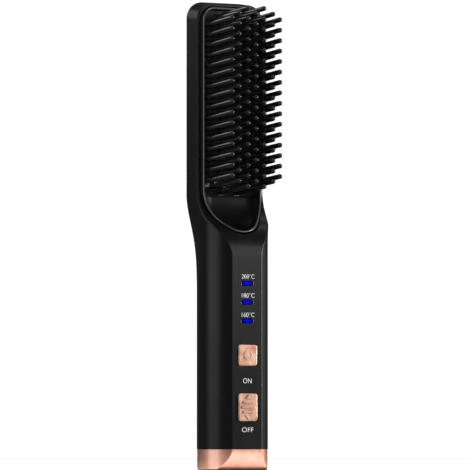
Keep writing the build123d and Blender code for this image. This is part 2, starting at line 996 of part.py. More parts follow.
# Slide knob, the lever in it and the slide switch
with BuildPart() as slide_knob:
    with BuildSketch(facing(knob_back_y)):
        with Locations((0, knob_centre)):
            RectangleRounded(knob_width, knob_height, knob_corner)
    extrude(amount=knob_thick)
    fillet(slide_knob.faces().sort_by(Axis.Y)[0].edges(), edge_round)
    # Raised bars and arrows on the face
    with BuildSketch(facing(knob_front_y)):
        with Locations((0, knob_centre)):
            RectangleRounded(ridge_middle_length, ridge_height, ridge_height / 3)
        with Locations((0, knob_centre - ridge_pitch), (0, knob_centre + ridge_pitch)):
            RectangleRounded(ridge_length, ridge_height, ridge_height / 3)
        for way in (-1, 1):
            base = knob_centre + way * (arrow_place - arrow_height / 2)
            tip = knob_centre + way * (arrow_place + arrow_height / 2)
            with BuildLine():
                Polyline(
                    (-arrow_width / 2, base), (arrow_width / 2, base), (0, tip), close=True
                )
            make_face()
    extrude(amount=ridge_proud)
    fillet(slide_knob.faces().filter_by(Axis.Y).group_by(Axis.Y)[0].edges(), ridge_round)
    # Stem through the slot and the foot behind the panel
    with BuildSketch(facing(foot_front_y)):
        with Locations((0, knob_centre)):
            Rectangle(stem_width, stem_height)
    extrude(amount=foot_front_y - knob_back_y)
    with BuildSketch(facing(foot_back_y)):
        with Locations((0, knob_centre)):
            Rectangle(stem_width + 2 * stem_foot, stem_height)
    extrude(amount=foot_thick)
    with BuildSketch(facing(foot_back_y)):
        with Locations((0, knob_centre)):
            Rectangle(lever_width + 2 * light_gap, lever_length + 2 * light_gap)
    extrude(amount=lever_grip + light_gap, mode=Mode.SUBTRACT)
slide_knob.part.label = "slide_knob"
export_step(slide_knob.part, "parts/slide_knob.step")

with BuildPart() as slide_lever:
    lever_end_y = slide_front_y + lever_root
    with BuildSketch(facing(lever_end_y)):
        with Locations((0, knob_centre)):
            Rectangle(lever_width, lever_length)
    extrude(amount=lever_end_y - lever_tip_y)
slide_lever.part.label = "slide_lever"
export_step(slide_lever.part, "parts/slide_lever.step")

slide_middle = knob_centre - knob_travel / 2
with BuildPart() as slide_switch:
    with BuildSketch(facing(board_y)):
        with Locations((0, slide_middle)):
            Rectangle(slide_body_width, slide_body_length)
    extrude(amount=slide_body_height)
    with BuildSketch(facing(slide_front_y)):
        with Locations((0, slide_middle)):
            Rectangle(
                lever_width + 2 * running_gap, lever_length + knob_travel + 2 * running_gap
            )
    extrude(amount=-lever_root - running_gap, mode=Mode.SUBTRACT)
slide_switch.part.label = "slide_switch"
export_step(slide_switch.part, "parts/slide_switch.step")

# Light guide with its three windows, and the lights behind them
light_front_y = board_y - led_thick
with BuildPart() as light_guide:
    web_back_y = inner_facet_y + running_gap + foot_thick
    light_places = [(0, height) for height in light_heights]
    with BuildSketch(facing(web_back_y)):
        with Locations(*light_places):
            RectangleRounded(light_width, light_height, light_corner)
    extrude(amount=web_back_y - facet_y)
    with BuildSketch(facing(web_back_y)):
        with Locations((0, (light_heights[0] + light_heights[-1]) / 2)):
            Rectangle(light_web, light_heights[-1] - light_heights[0])
    extrude(amount=foot_thick)
    with BuildSketch(facing(light_front_y - light_gap)):
        with Locations(*light_places):
            Rectangle(led_width, led_height)
    extrude(amount=light_front_y - light_gap - web_back_y)
light_guide.part.label = "light_guide"
export_step(light_guide.part, "parts/light_guide.step")

with BuildPart() as blue_lights:
    with BuildSketch(facing(board_y)):
        with Locations(*light_places):
            Rectangle(led_width, led_height)
    extrude(amount=led_thick)
blue_lights.part.label = "blue_lights"
export_step(blue_lights.part, "parts/blue_lights.step")

# Main board
board_screw_places = [
    (side * board_screw_x, button_centre + end * board_screw_pitch / 2)
    for side in (-1, 1)
    for end in (-1, 1)
]
board_bore = board_screw_diameter / 2 + strip_gap
with BuildPart() as main_board:
    block(-board_width / 2, board_width / 2, board_y, board_back_y, board_low, board_high)
    for x, z in board_screw_places:
        rod(x, z, board_bore, board_y - 1, board_back_y + 1, mode=Mode.SUBTRACT)
main_board.part.label = "main_board"
export_step(main_board.part, "parts/main_board.step")

with BuildPart() as board_screws:
    for x, z in board_screw_places:
        rod(x, z, board_screw_diameter / 2, board_y, spine_back_y)
        rod(x, z, board_head_diameter / 2, board_y - board_head_height, board_y)
board_screws.part.label = "board_screws"
export_step(board_screws.part, "parts/board_screws.step")

# Chassis: a spine behind the board and three half rings that hold the cell
ring_levels = [
    chassis_low,
    (cell_low + cell_high - ring_thick) / 2,
    tab_high + tab_thick + tab_gap,
]
with BuildPart() as chassis_rings:
    for level in ring_levels:
        post(0, 0, inner_radius - ring_gap, level, level + ring_thick)
    split(bisect_by=facing(spine_y), keep=Keep.BOTTOM)

with BuildPart() as chassis:
    block(
        -spine_width / 2,
        spine_width / 2,
        spine_y,
        spine_back_y,
        chassis_low,
        chassis_screw_z + boss_diameter / 2,
    )
    add(chassis_rings.part)
    post(0, cell_y, cell_radius + cell_gap, cell_low, cell_high, mode=Mode.SUBTRACT)
    for level in (tab_low, tab_high):
        block(
            -tab_width / 2 - tab_gap,
            tab_width / 2 + tab_gap,
            spine_y - 1,
            spine_back_y + 1,
            level - tab_gap,
            level + tab_thick + tab_gap,
            mode=Mode.SUBTRACT,
        )
    for x, z in board_screw_places:
        rod(x, z, board_head_diameter / 2, board_back_y, spine_back_y)
        rod(x, z, board_bore, board_back_y - 1, spine_back_y + 1, mode=Mode.SUBTRACT)
    for side in (-1, 1):
        x = side * chassis_screw_x
        rod(x, chassis_screw_z, boss_bore, spine_y - 1, spine_back_y + 1, mode=Mode.SUBTRACT)
chassis.part.label = "chassis"
export_step(chassis.part, "parts/chassis.step")

with BuildPart() as chassis_screws:
    for side in (-1, 1):
        x, z = side * chassis_screw_x, chassis_screw_z
        rod(x, z, chassis_screw_diameter / 2, spine_y, boss_bore_end - 1)
        rod(x, z, chassis_head_diameter / 2, spine_y - chassis_head_height, spine_y)
chassis_screws.part.label = "chassis_screws"
export_step(chassis_screws.part, "parts/chassis_screws.step")

# Battery
with BuildPart() as battery_cell:
    with BuildSketch(Plane.XY.offset(cell_low)):
        with Locations((0, cell_y)):
            Circle(cell_radius)
    extrude(amount=cell_length - cell_button_height)
    fillet(battery_cell.edges(), cell_button_height / 3)
    post(0, cell_y, cell_radius / 3, cell_low, cell_high)
battery_cell.part.label = "battery_cell"
export_step(battery_cell.part, "parts/battery_cell.step")

with BuildPart() as battery_tabs:
    for level in (tab_low, tab_high):
        block(
            -tab_width / 2,
            tab_width / 2,
            board_back_y + strip_gap,
            cell_y + tab_width / 2,
            level,
            level + tab_thick,
        )
battery_tabs.part.label = "battery_tabs"
export_step(battery_tabs.part, "parts/battery_tabs.step")

with BuildPart() as battery_pads:
    for low, high in zip(ring_levels, ring_levels[1:]):
        middle = (low + ring_thick + high) / 2
        block(
            -pad_width / 2,
            pad_width / 2,
            pad_front_y,
            pad_back_y,
            middle - pad_length / 2,
            middle + pad_length / 2,
        )
battery_pads.part.label = "battery_pads"
export_step(battery_pads.part, "parts/battery_pads.step")

# Charging end
socket_high = socket_low + socket_length
with BuildPart() as charge_socket:
    with BuildSketch(Plane.XY.offset(socket_low)):
        with Locations((0, socket_y)):
            SlotOverall(socket_width, socket_height)
    extrude(amount=socket_length)
    with BuildSketch(Plane.XY.offset(socket_low)):
        with Locations((0, socket_y)):
            SlotOverall(socket_width - 2 * socket_skin, socket_height - 2 * socket_skin)
    extrude(amount=socket_length - socket_floor, mode=Mode.SUBTRACT)
    block(
        -tongue_width / 2,
        tongue_width / 2,
        socket_y - tongue_thick / 2,
        socket_y + tongue_thick / 2,
        socket_high - socket_floor - tongue_length,
        socket_high,
    )
charge_socket.part.label = "charge_socket"
export_step(charge_socket.part, "parts/charge_socket.step")

with BuildPart() as charge_board:
    block(
        -charge_board_width / 2,
        charge_board_width / 2,
        charge_board_y,
        charge_board_back,
        charge_board_low,
        charge_board_high,
    )
charge_board.part.label = "charge_board"
export_step(charge_board.part, "parts/charge_board.step")

core_plate_low = core_high - core_plate
core_front_y = socket_y - socket_height / 2 - tab_gap
core_screw_places = [(0, core_screw_front), (0, core_screw_back)]
with BuildPart() as cap_core:
    with BuildSketch(Plane.XY.offset(core_plate_low)):
        Circle(cap_radius - cap_wall - core_gap)
    extrude(amount=core_plate)
    split(bisect_by=facing(cap_panel_y + cap_wall + 2 * core_gap), keep=Keep.BOTTOM)
    block(
        -core_block_width / 2,
        core_block_width / 2,
        core_front_y - core_wall,
        charge_board_back + tab_gap + core_wall,
        core_low,
        core_high,
    )
    block(
        -socket_width / 2 - tab_gap,
        socket_width / 2 + tab_gap,
        core_front_y,
        charge_board_back,
        core_low - 1,
        core_high + 1,
        mode=Mode.SUBTRACT,
    )
    block(
        -charge_board_width / 2 - tab_gap,
        charge_board_width / 2 + tab_gap,
        charge_board_y - strip_gap,
        charge_board_back + tab_gap,
        core_low - 1,
        core_high + 1,
        mode=Mode.SUBTRACT,
    )
    for x, y in core_screw_places:
        post(x, y, core_bore, core_plate_low - 1, core_high + 1, mode=Mode.SUBTRACT)
cap_core.part.label = "cap_core"
export_step(cap_core.part, "parts/cap_core.step")

with BuildPart() as core_screws:
    for x, y in core_screw_places:
        post(x, y, core_head_diameter / 2, core_plate_low - core_head_height, core_plate_low)
        post(x, y, core_screw_diameter / 2, core_plate_low, cap_height + core_screw_bite)
core_screws.part.label = "core_screws"
export_step(core_screws.part, "parts/core_screws.step")


# Leads
def easy_radii(route):
    """The arc at each corner of a route, 0.45 of the shorter run over half the turn."""
    radii = []
    for before, at, after in zip(route, route[1:], route[2:]):
        first = Vector(at[0] - before[0], at[1] - before[1])
        second = Vector(after[0] - at[0], after[1] - at[1])
        turn = math.radians(first.get_angle(second))
        radii.append(0.45 * min(first.length, second.length) / math.tan(turn / 2))
    return radii


def lead_pair(route, spread, diameter):
    """Two wires side by side along one route of depths and heights."""
    with BuildPart() as pair:
        for side in (-1, 1):
            with BuildLine(Plane.YZ.offset(side * spread)) as path:
                FilletPolyline(*route, radius=easy_radii(route))
            with BuildSketch(Plane(origin=path.line @ 0, z_dir=path.line % 0)):
                Circle(diameter / 2)
            sweep(path=path.line)
    return pair.part


heater_low = heater_middle - (heater_pitch + heater_length) / 2
heater_lead_y = heater_y + heater_thick / 2
board_lead_y = (board_y + board_back_y) / 2
heater_route = [
    (heater_lead_y, heater_low - tab_gap),
    (heater_lead_y, heater_low - lead_drop),
    (board_lead_y, board_high + lead_rise),
    (board_lead_y, board_high + tab_gap),
]
with BuildPart() as heater_leads:
    add(lead_pair(heater_route, lead_spread, lead_diameter))
heater_leads.part.label = "heater_leads"
export_step(heater_leads.part, "parts/heater_leads.step")

charge_lead_z = charge_board_high - charge_lead_inset
charge_route = [
    (charge_board_y - tab_gap, charge_lead_z),
    (board_lead_y, charge_lead_z),
    (board_lead_y, board_low - tab_gap),
]
with BuildPart() as charge_leads:
    add(lead_pair(charge_route, charge_lead_spread, charge_lead_diameter))
charge_leads.part.label = "charge_leads"
export_step(charge_leads.part, "parts/charge_leads.step")
print("lead radii", [round(r, 2) for r in easy_radii(heater_route) + easy_radii(charge_route)])
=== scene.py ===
# %% [markdown]
# # A slim heated comb with a rose-gold end
#
# The object is a hand-held hair straightening comb, about 210 mm tall: a black moulded
# housing, rows of glossy pins over an aluminium heating plate, a flat control panel and
# a plated end cap. All its hard parts come from a CAD model that is already packed as a
# frame. This lesson loads the frame, gives each part a surface that is worth looking at,
# adds the thin trim and the printed words, and sets up the studio.
#
# Blender works in metres here, and every object keeps the frame's own coordinates: +Z
# runs up the handle and -Y is the side with the pins and the controls.

# %% Load the frame
import math

import bpy
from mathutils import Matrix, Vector


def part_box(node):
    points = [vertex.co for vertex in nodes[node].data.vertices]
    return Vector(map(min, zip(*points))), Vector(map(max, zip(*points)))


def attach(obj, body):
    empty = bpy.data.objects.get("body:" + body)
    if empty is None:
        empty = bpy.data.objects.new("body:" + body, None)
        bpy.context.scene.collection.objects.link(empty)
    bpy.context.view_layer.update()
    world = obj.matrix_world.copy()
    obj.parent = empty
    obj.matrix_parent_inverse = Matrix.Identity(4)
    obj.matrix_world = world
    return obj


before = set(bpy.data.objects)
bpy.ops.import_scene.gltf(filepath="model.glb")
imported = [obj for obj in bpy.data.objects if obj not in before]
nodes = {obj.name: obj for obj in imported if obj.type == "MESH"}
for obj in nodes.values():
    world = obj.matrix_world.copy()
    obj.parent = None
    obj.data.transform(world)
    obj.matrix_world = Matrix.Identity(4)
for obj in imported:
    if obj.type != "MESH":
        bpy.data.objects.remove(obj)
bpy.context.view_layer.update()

MM = 0.001
scene = bpy.context.scene

# %% [markdown]
# ## The camera
#
# The product is seen from a little to its left and from just below its middle, through a
# long lens, so its edges stay parallel. A long lens in Blender is a large focal length
# and a camera that stands far back. The distance is as large as it can be while the
# camera still stands above the floor, because it looks slightly upwards.

# %% Camera
FRAME_HEIGHT = 210.1 * MM
AIM_RIGHT = 1.2 * MM
CAMERA_TURN = math.radians(28.0)
CAMERA_RISE = math.radians(2.5)
CAMERA_DISTANCE = 2.2
NEAREST_SEEN = 0.1
FARTHEST_SEEN = 50.0

look = Vector(
    (
        math.sin(CAMERA_TURN) * math.cos(CAMERA_RISE),
        math.cos(CAMERA_TURN) * math.cos(CAMERA_RISE),
        math.sin(CAMERA_RISE),
    )
)
beside = Vector((math.cos(CAMERA_TURN), -math.sin(CAMERA_TURN), 0.0))
aim = beside * AIM_RIGHT + Vector((0.0, 0.0, FRAME_HEIGHT / 2))

camera = bpy.data.objects.new("camera", bpy.data.cameras.new("camera"))
scene.collection.objects.link(camera)
scene.camera = camera
camera.data.lens = camera.data.sensor_width * CAMERA_DISTANCE / FRAME_HEIGHT
camera.data.clip_start = NEAREST_SEEN
camera.data.clip_end = FARTHEST_SEEN
camera.location = aim - look * CAMERA_DISTANCE
camera.rotation_mode = "QUATERNION"
camera.rotation_quaternion = look.to_track_quat("-Z", "Y")
print("lens", round(camera.data.lens), "mm, camera", round(camera.location.z / MM, 1), "mm up")

# %% [markdown]
# ## Small helpers for materials
#
# A material in Blender is a graph of nodes. Making a node and wiring it takes several
# lines in Python, so a helper shortens that: it adds a node and fills in its inputs. A
# socket given as a node's output is wired, and any other value is typed in. The other
# helpers build on it, one for each small job that several materials need.


# %% Node helpers
def add_node(tree, kind, settings=None, **inputs):
    """Adds a node, sets its own settings, and wires or fills the inputs by name."""
    node = tree.nodes.new(kind)
    for name, value in (settings or {}).items():
        setattr(node, name, value)
    for name, value in inputs.items():
        label = int(name[1:]) if name[0] == "_" else name.replace("_", " ")
        if isinstance(value, bpy.types.NodeSocket):
            tree.links.new(value, node.inputs[label])
        else:
            node.inputs[label].default_value = value
    return node


def new_group(name, inputs, outputs):
    """An empty shader group with named number inputs and outputs."""
    group = bpy.data.node_groups.new(name, "ShaderNodeTree")
    for label, value in inputs.items():
        socket = group.interface.new_socket(
            name=label, in_out="INPUT", socket_type="NodeSocketFloat"
        )
        socket.default_value = value
    for label in outputs:
        group.interface.new_socket(name=label, in_out="OUTPUT", socket_type="NodeSocketFloat")
    return group, group.nodes.new("NodeGroupInput"), group.nodes.new("NodeGroupOutput")


print("node helpers ready")


# %% Helpers for values
def maths(tree, operation, a, b=0.0, clamp=False):
    """One arithmetic step on two values or sockets."""
    settings = {"operation": operation, "use_clamp": clamp}
    return add_node(tree, "ShaderNodeMath", settings, _0=a, _1=b).outputs[0]


def soft_step(tree, value, start, end):
    """A soft step from 0 to 1 between two values."""
    settings = {"interpolation_type": "SMOOTHSTEP"}
    step = add_node(
        tree, "ShaderNodeMapRange", settings, Value=value, From_Min=start, From_Max=end
    )
    return step.outputs["Result"]


def object_place(tree):
    """A point's place in the object's own coordinates."""
    return add_node(tree, "ShaderNodeTexCoord").outputs["Object"]


def length_of(tree, vector):
    """The length of a vector."""
    settings = {"operation": "LENGTH"}
    return add_node(tree, "ShaderNodeVectorMath", settings, _0=vector).outputs["Value"]


def noise(tree, place, scale, detail, rough):
    """Soft random patches, mostly between 0.3 and 0.7."""
    return add_node(
        tree, "ShaderNodeTexNoise", Vector=place, Scale=scale, Detail=detail, Roughness=rough
    ).outputs["Fac"]


print("value helpers ready")

# %% [markdown]
# ## Mould grain
#
# A moulded plastic part is never perfectly smooth. The steel mould leaves a very fine
# skin of bumps, and the gloss drifts slowly over the part. The group below gives both: a
# height for a Bump node and a slow drift for the roughness. It reads object coordinates,
# so the grain has the same size on every part.


# %% Group: mould grain
def build_mould_grain():
    """Gives the height of a fine grain and a slow drift."""
    group, given, out = new_group(
        "mould grain", {"Grain mm": 0.2, "Drift mm": 14.0}, ["Height", "Drift"]
    )
    place = object_place(group)
    fine_scale = maths(group, "DIVIDE", 1 / MM, given.outputs["Grain mm"])
    slow_scale = maths(group, "DIVIDE", 1 / MM, given.outputs["Drift mm"])
    fine = noise(group, place, fine_scale, detail=3.0, rough=0.55)
    slow = noise(group, place, slow_scale, detail=2.0, rough=0.5)
    group.links.new(fine, out.inputs["Height"])
    group.links.new(slow, out.inputs["Drift"])
    return group


mould_grain = build_mould_grain()
print("group", mould_grain.name, "is ready")

# %% [markdown]
# ## Handling wear
#
# Edges that hands and tables touch turn slightly lighter and shinier. Cycles can round an
# edge for shading alone with its Bevel node. Where that rounded normal turns away from
# the true one, there is an edge, whatever triangles the surface is made of. The group
# makes a mask from that, and a noise breaks it up, so that the wear isn't a drawn line.


# %% Group: handling wear
def build_handling_wear():
    """Gives a broken mask along the edges."""
    group, given, out = new_group(
        "handling wear", {"Amount": 0.5, "Width mm": 0.3, "Breakup mm": 1.5}, ["Mask"]
    )
    width = maths(group, "MULTIPLY", given.outputs["Width mm"], MM)
    rounded = add_node(group, "ShaderNodeBevel", {"samples": 4}, Radius=width).outputs["Normal"]
    true = add_node(group, "ShaderNodeNewGeometry").outputs["Normal"]
    same = add_node(
        group, "ShaderNodeVectorMath", {"operation": "DOT_PRODUCT"}, _0=rounded, _1=true
    ).outputs["Value"]
    edge = soft_step(group, same, start=0.995, end=0.85)
    scale = maths(group, "DIVIDE", 1 / MM, given.outputs["Breakup mm"])
    broken = noise(group, object_place(group), scale, detail=4.0, rough=0.65)
    patches = add_node(
        group, "ShaderNodeMapRange", Value=broken, From_Min=0.35, From_Max=0.65
    ).outputs["Result"]
    worn = maths(group, "MULTIPLY", edge, patches)
    mask = maths(group, "MULTIPLY", worn, given.outputs["Amount"], clamp=True)
    group.links.new(mask, out.inputs["Mask"])
    return group


handling_wear = build_handling_wear()
print("group", handling_wear.name, "is ready")

# %% [markdown]
# ## Drawn streaks
#
# Rolled and drawn metal has fine lines that all run one way. Noise whose coordinates are
# squeezed along one axis turns into such lines. The group gives them as one value, which
# each metal uses for its gloss and for a very shallow bump.


# %% Group: drawn streaks
def build_drawn_streaks():
    """Gives a value that varies in fine lines along the handle."""
    group, given, out = new_group(
        "drawn streaks", {"Across mm": 0.08, "Along mm": 12.0}, ["Streak"]
    )
    across = maths(group, "DIVIDE", 1 / MM, given.outputs["Across mm"])
    along = maths(group, "DIVIDE", 1 / MM, given.outputs["Along mm"])
    stretch = add_node(group, "ShaderNodeCombineXYZ", X=across, Y=across, Z=along).outputs[0]
    place = object_place(group)
    squeezed = add_node(
        group, "ShaderNodeVectorMath", {"operation": "MULTIPLY"}, _0=place, _1=stretch
    ).outputs["Vector"]
    lines = noise(group, squeezed, scale=1.0, detail=3.0, rough=0.6)
    group.links.new(lines, out.inputs["Streak"])
    return group


drawn_streaks = build_drawn_streaks()
print("group", drawn_streaks.name, "is ready")

# %% [markdown]
# ## Two recipes
#
# Nearly every part here is either moulded plastic or metal, so two recipes cover them:
# each starts a material, places the shared groups with that material's own values, and
# wires them to the Principled BSDF. Numbers that are the same all over the part, such as
# the coat, are typed straight on the shader's own sockets.


# %% Helpers for the recipes
def start_material(name):
    """A new node material, its tree and its Principled BSDF."""
    material = bpy.data.materials.new(name)
    material.use_nodes = True
    return material, material.node_tree, material.node_tree.nodes["Principled BSDF"]


def place_group(tree, group, **inputs):
    """Places a shared group in a material with its own values."""
    return add_node(tree, "ShaderNodeGroup", {"node_tree": group}, **inputs)


def spread(tree, value, low, high):
    """Stretches the middle of a noise to a range."""
    stretched = add_node(
        tree, "ShaderNodeMapRange", Value=value, From_Min=0.3, From_Max=0.7, To_Min=low, To_Max=high
    )
    return stretched.outputs["Result"]


def blend_colours(tree, mask, first, second):
    """Mixes two colours by a mask. Each is three numbers or a socket."""
    ends = [c if isinstance(c, bpy.types.NodeSocket) else [*c, 1.0] for c in (first, second)]
    settings = {"data_type": "RGBA"}
    return add_node(tree, "ShaderNodeMix", settings, _0=mask, _6=ends[0], _7=ends[1]).outputs[2]


def type_in(shader, **values):
    """Types constant values on the shader's own sockets."""
    for name, value in values.items():
        shader.inputs[name.replace("_", " ")].default_value = value


def wire_surface(tree, shader, colour, gloss, height=None, depth_mm=0.0):
    """Wires a colour, a roughness and, where there is a height, a bump."""
    tree.links.new(colour, shader.inputs["Base Color"])
    tree.links.new(gloss, shader.inputs["Roughness"])
    if height is not None:
        bump = add_node(tree, "ShaderNodeBump", Strength=1.0, Distance=depth_mm * MM, Height=height)
        tree.links.new(bump.outputs["Normal"], shader.inputs["Normal"])


def dress(material, *names):
    """Gives parts of the frame this material in place of their plain one."""
    for name in names:
        for place in nodes[name].material_slots:
            place.material = material


print("recipe helpers ready")

# %% Recipe: moulded plastic
PLASTIC_DRIFT_MM = 16.0
PLASTIC_COAT_ROUGHNESS = 0.12
DEEPER_TONE = 0.8


def moulded_plastic(
    name, colour, worn_colour, rough, grain_mm, depth_mm, coat=0.0, wear=0.5, mirror=0.5
):
    """Moulded plastic: grain, a slow drift of tone and gloss, and wear on the edges."""
    material, tree, shader = start_material(name)
    grain = place_group(tree, mould_grain, Grain_mm=grain_mm, Drift_mm=PLASTIC_DRIFT_MM)
    worn = place_group(tree, handling_wear, Amount=wear, Width_mm=0.3, Breakup_mm=1.6)
    drift, height = grain.outputs["Drift"], grain.outputs["Height"]
    toned = blend_colours(tree, drift, [c * DEEPER_TONE for c in colour], colour)
    shown = blend_colours(tree, worn.outputs["Mask"], toned, worn_colour)
    wire_surface(tree, shader, shown, spread(tree, drift, *rough), height, depth_mm)
    type_in(shader, Specular_IOR_Level=mirror, Coat_Weight=coat)
    type_in(shader, Coat_Roughness=PLASTIC_COAT_ROUGHNESS)
    return material


print("plastic recipe ready, with a drift of", PLASTIC_DRIFT_MM, "mm")

# %% Recipe: drawn metal
BRIGHTER_EDGE = 1.2


def drawn_metal(name, colour, dull_colour, rough, across_mm, along_mm, depth_mm):
    """Metal: fine streaks in its gloss and height, and brighter worn edges."""
    material, tree, shader = start_material(name)
    streaks = place_group(tree, drawn_streaks, Across_mm=across_mm, Along_mm=along_mm)
    worn = place_group(tree, handling_wear, Amount=0.4, Width_mm=0.25, Breakup_mm=0.9)
    streak = streaks.outputs["Streak"]
    toned = blend_colours(tree, streak, dull_colour, colour)
    bright = [min(1.0, c * BRIGHTER_EDGE) for c in colour]
    shown = blend_colours(tree, worn.outputs["Mask"], toned, bright)
    wire_surface(tree, shader, shown, spread(tree, streak, *rough), streak, depth_mm)
    type_in(shader, Metallic=1.0)
    return material


print("metal recipe ready, with edges", BRIGHTER_EDGE, "times as bright")

# %% [markdown]
# ## The black housing
#
# The two shells are moulded in satin black plastic. Black plastic gets nearly all its
# look from reflections, so its gloss matters more than its colour. The base colour is
# almost black, and the grain is so shallow that it only softens the highlights. The tray
# is duller, so that the scoop stays dark, and the pins are glossy under a thin coat.

# %% Housing plastics
housing_black = moulded_plastic(
    "satin black housing",
    colour=(0.003, 0.003, 0.0034),
    worn_colour=(0.02, 0.02, 0.021),
    rough=(0.27, 0.33),
    grain_mm=0.12,
    depth_mm=0.0025,
    mirror=0.27,
)
dress(housing_black, "front_shell", "rear_shell")

tray_black = moulded_plastic(
    "smooth black tray",
    colour=(0.004, 0.004, 0.0045),
    worn_colour=(0.03, 0.03, 0.03),
    rough=(0.36, 0.42),
    grain_mm=0.16,
    depth_mm=0.002,
    mirror=0.11,
)
dress(tray_black, "comb_tray")

pin_black = moulded_plastic(
    "glossy black pins",
    colour=(0.006, 0.006, 0.0065),
    worn_colour=(0.02, 0.02, 0.02),
    rough=(0.16, 0.24),
    grain_mm=0.3,
    depth_mm=0.002,
    coat=0.3,
    wear=0.3,
)
dress(pin_black, *[f"pin_strip_{i}" for i in range(1, 8)])
print("housing, tray and pins are black")

# %% [markdown]
# ## Rose-gold plating
#
# The end cap, the button and the slide knob are plastic with a thin layer of metal. Bright
# plating mirrors the studio, so it needs lights that are worth mirroring more than it
# needs texture. A strong clear coat over a satin metal keeps the highlights pale and the
# dark stretches red, like the lacquer on real plated plastic. The metal's tone also
# drifts a little, and the button and the knob are softer than the cap.

# %% Plating recipe
PLATING_DRIFT_MM = 5.0
PLATING_COAT_ROUGHNESS = 0.2
PALER_EDGE = 1.12


def plating(name, colour, shade, rough, ripple_mm, depth_mm, coat_ior):
    """Bright plating over moulded plastic."""
    material, tree, shader = start_material(name)
    ripple = place_group(tree, mould_grain, Grain_mm=ripple_mm, Drift_mm=PLATING_DRIFT_MM)
    worn = place_group(tree, handling_wear, Amount=0.5, Width_mm=0.25, Breakup_mm=1.0)
    drift, height = ripple.outputs["Drift"], ripple.outputs["Height"]
    toned = blend_colours(tree, spread(tree, drift, 0.0, 1.0), shade, colour)
    pale = [min(1.0, c * PALER_EDGE) for c in colour]
    shown = blend_colours(tree, worn.outputs["Mask"], toned, pale)
    wire_surface(tree, shader, shown, spread(tree, drift, *rough), height, depth_mm)
    type_in(shader, Metallic=1.0, Coat_Weight=1.0, Coat_IOR=coat_ior)
    type_in(shader, Coat_Roughness=PLATING_COAT_ROUGHNESS)
    return material


print("plating recipe ready, with a drift of", PLATING_DRIFT_MM, "mm")

# %% Plated parts
rose_gold = plating(
    "rose-gold plating",
    colour=(0.96, 0.5, 0.33),
    shade=(0.88, 0.38, 0.235),
    rough=(0.41, 0.47),
    ripple_mm=2.5,
    depth_mm=0.004,
    coat_ior=2.7,
)
dress(rose_gold, "end_cap")

pale_rose_gold = plating(
    "pale rose-gold plating",
    colour=(0.74, 0.49, 0.37),
    shade=(0.54, 0.235, 0.142),
    rough=(0.36, 0.5),
    ripple_mm=0.4,
    depth_mm=0.003,
    coat_ior=1.9,
)
dress(pale_rose_gold, "mode_button", "slide_knob")
print("plating on the cap, the button and the knob")

# %% [markdown]
# ## The lit windows
#
# Three small windows glow blue while the comb heats. A real light window is brightest in
# the middle, where the lamp is, and falls off towards its edges. The material finds the
# distance from the nearest window's centre in object coordinates and turns that into the
# colour of the emitted light.

# %% Lit windows
LIGHT_LOW = 66.3 * MM
LIGHT_PITCH = 8.35 * MM
GLOW_HALF_WIDTH = 3.05 * MM
GLOW_HALF_HEIGHT = 1.35 * MM
GLOW_END = 0.95


def lit_window():
    """Blue light that is brightest in the middle of each window."""
    material, tree, shader = start_material("lit blue window")
    parts = add_node(tree, "ShaderNodeSeparateXYZ", Vector=object_place(tree)).outputs
    lifted = maths(tree, "SUBTRACT", parts["Z"], LIGHT_LOW - LIGHT_PITCH / 2)
    within = maths(tree, "FLOORED_MODULO", lifted, LIGHT_PITCH)
    above = maths(tree, "SUBTRACT", within, LIGHT_PITCH / 2)
    high = maths(tree, "DIVIDE", above, GLOW_HALF_HEIGHT)
    wide = maths(tree, "DIVIDE", parts["X"], GLOW_HALF_WIDTH)
    away = add_node(tree, "ShaderNodeCombineXYZ", X=wide, Y=high, Z=0.0).outputs["Vector"]
    fall = soft_step(tree, length_of(tree, away), 0.0, GLOW_END)
    glow = blend_colours(tree, fall, (0.0, 0.0, 0.7), (0.0, 0.0, 0.045))
    tint = blend_colours(tree, fall, (0.001, 0.001, 0.03), (0.0, 0.0, 0.01))
    tree.links.new(glow, shader.inputs["Emission Color"])
    tree.links.new(tint, shader.inputs["Base Color"])
    type_in(shader, Emission_Strength=1.0, Roughness=0.3, Specular_IOR_Level=0.02)
    return material


dress(lit_window(), "light_guide")
print("windows lit, one every", LIGHT_PITCH / MM, "mm")

# %% [markdown]
# ## The metal that shows
#
# Between the pins lies the heating plate, an aluminium extrusion with a dark satin
# coating, so that only its bare lower end flashes as metal. Fine streaks run along it, as
# the metal was drawn that way. Its material switches from coated to bare by height.

# %% Coated plate
BARE_LOW = 126.4 * MM
BARE_HIGH = 130.2 * MM


def coated_plate():
    """Aluminium with a dark coating, and bare in a band near its foot."""
    material, tree, shader = start_material("dark coated aluminium")
    streaks = place_group(tree, drawn_streaks, Across_mm=0.1, Along_mm=14.0)
    grain = place_group(tree, mould_grain, Grain_mm=0.4, Drift_mm=8.0)
    height = add_node(tree, "ShaderNodeSeparateXYZ", Vector=object_place(tree)).outputs["Z"]
    below = maths(tree, "LESS_THAN", height, BARE_HIGH)
    above = maths(tree, "GREATER_THAN", height, BARE_LOW)
    bare = maths(tree, "MULTIPLY", below, above)
    streak, drift = streaks.outputs["Streak"], grain.outputs["Drift"]
    coat = blend_colours(tree, drift, (0.004, 0.004, 0.005), (0.009, 0.009, 0.01))
    metal = blend_colours(tree, streak, (0.7, 0.7, 0.71), (0.9, 0.9, 0.91))
    shown = blend_colours(tree, bare, coat, metal)
    gloss = spread(tree, streak, 0.3, 0.45)
    wire_surface(tree, shader, shown, gloss, height=streak, depth_mm=0.003)
    tree.links.new(bare, shader.inputs["Metallic"])
    type_in(shader, Specular_IOR_Level=0.3)
    return material


dress(coated_plate(), "heating_plate")
print("plate bare between", BARE_LOW / MM, "and", BARE_HIGH / MM, "mm")

